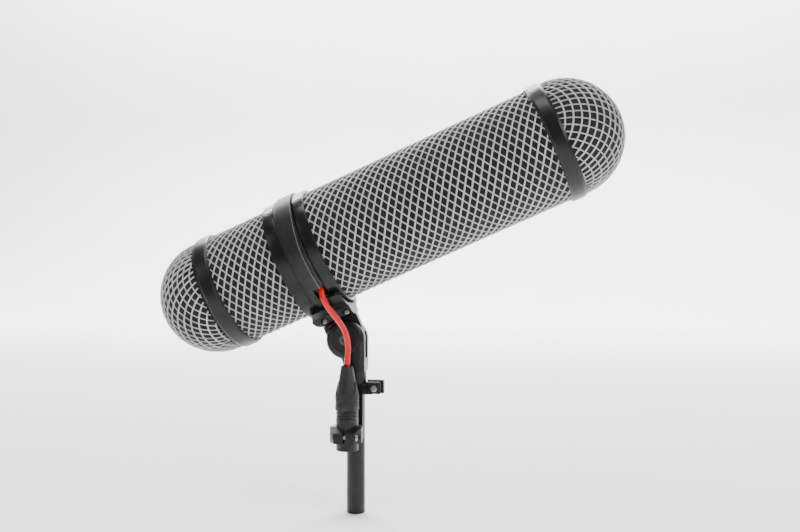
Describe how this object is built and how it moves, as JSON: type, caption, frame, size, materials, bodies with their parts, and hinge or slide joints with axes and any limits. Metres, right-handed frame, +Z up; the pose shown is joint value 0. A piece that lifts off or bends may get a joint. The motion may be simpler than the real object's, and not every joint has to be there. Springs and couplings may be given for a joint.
{
  "type": "basket windshield on swivel mount",
  "caption": "Long round-ended basket windshield for a gun microphone, with pull-off pods, a sprung inner cradle, a tilting swivel and a cable tail to a clamped connector.",
  "frame": {"origin": "centre of the threaded socket's mouth at the foot of the pole", "axes": "+Z up the pole, +X towards the front end of the basket, +Y away from the side that carries the cable tail"},
  "size_m": [0.4048, 0.11, 0.3729],
  "materials": {
    "pole_black": "satin black",
    "cast_black": "textured black",
    "bracket_black": "satin black",
    "steel": "bright zinc",
    "steel_dark": "blackened",
    "brass": "gold plated",
    "moulded_black": "fine spark texture",
    "ring_grey": "fine spark texture",
    "lip_grey": "fine spark texture",
    "collar_black": "semi gloss",
    "band_rubber": "semi gloss rubber",
    "boot_rubber": "soft matte",
    "shell_black": "satin black",
    "cable_red": "satin",
    "netting_grey": "satin moulded net",
    "lining_cloth": "knitted cloth",
    "lyre_plastic": "satin",
    "rail_aluminium": "anodised"
  },
  "bodies": {
    "stand": {"pole": "pole_black", "foot_insert": "steel", "swivel_arm": "cast_black", "arm_set_screw": "steel", "swivel_cap": "cast_black", "swivel_bolt": "steel_dark", "swivel_washers": "steel", "knob_washer": "steel", "holder_bracket": "bracket_black", "pole_clamp_screw": "steel", "conn_clamp_screw": "steel", "conn_boot": "boot_rubber", "conn_bushing": "boot_rubber", "conn_shell": "shell_black", "conn_carrier": "moulded_black", "conn_pins": "brass", "cable_tail": "cable_red"},
    "knob": {"lock_knob": "moulded_black", "knob_insert": "brass"},
    "cradle": {"tongue": "moulded_black", "saddle": "moulded_black", "saddle_screws": "steel", "centre_ring": "ring_grey", "ring_skirt": "collar_black", "ring_trim": "lip_grey", "ring_hoop": "moulded_black", "ring_seals": "band_rubber", "rail": "rail_aluminium", "rail_screws": "steel", "cable_grommet": "band_rubber", "inner_cable": "cable_red", "cable_clips": "moulded_black", "inner_shell": "shell_black", "inner_boot": "boot_rubber", "inner_insert": "moulded_black", "inner_clip": "moulded_black"},
    "front_mount": {"front_lyre": "lyre_plastic", "front_shoe": "moulded_black", "front_thumb_screw": "steel"},
    "rear_mount": {"rear_lyre": "lyre_plastic", "rear_shoe": "moulded_black", "rear_thumb_screw": "steel"},
    "front_pod": {"front_collar": "collar_black", "front_netting": "netting_grey", "front_lining": "lining_cloth", "front_band": "band_rubber", "front_hoop": "moulded_black", "front_dome": "netting_grey", "front_dome_lining": "lining_cloth"},
    "rear_pod": {"rear_collar": "collar_black", "rear_netting": "netting_grey", "rear_lining": "lining_cloth", "rear_band": "band_rubber", "rear_hoop": "moulded_black", "rear_dome": "netting_grey", "rear_dome_lining": "lining_cloth"}
  },
  "joints": [
    {"name": "basket_tilt", "type": "hinge", "parent": "stand", "child": "cradle", "pos_m": [-0.0076, 0, 0.151], "axis": [0, -1, 0], "range_deg": [-65, 50], "deforming": ["cable_tail"]},
    {"name": "knob_turn", "type": "hinge", "parent": "stand", "child": "knob", "pos_m": [-0.0076, 0.018, 0.151], "axis": [0, 1, 0], "range_deg": [0, 270]},
    {"name": "front_pod_pull", "type": "slide", "parent": "cradle", "child": "front_pod", "axis": [0.915, 0, 0.4035], "range_m": [0, 0.15]},
    {"name": "rear_pod_pull", "type": "slide", "parent": "cradle", "child": "rear_pod", "axis": [-0.915, 0, -0.4035], "range_m": [0, 0.12]},
    {"name": "front_lyre_slide", "type": "slide", "parent": "cradle", "child": "front_mount", "axis": [0.915, 0, 0.4035], "range_m": [-0.015, 0.014]},
    {"name": "rear_lyre_slide", "type": "slide", "parent": "cradle", "child": "rear_mount", "axis": [0.915, 0, 0.4035], "range_m": [-0.007, 0.007]}
  ]
}
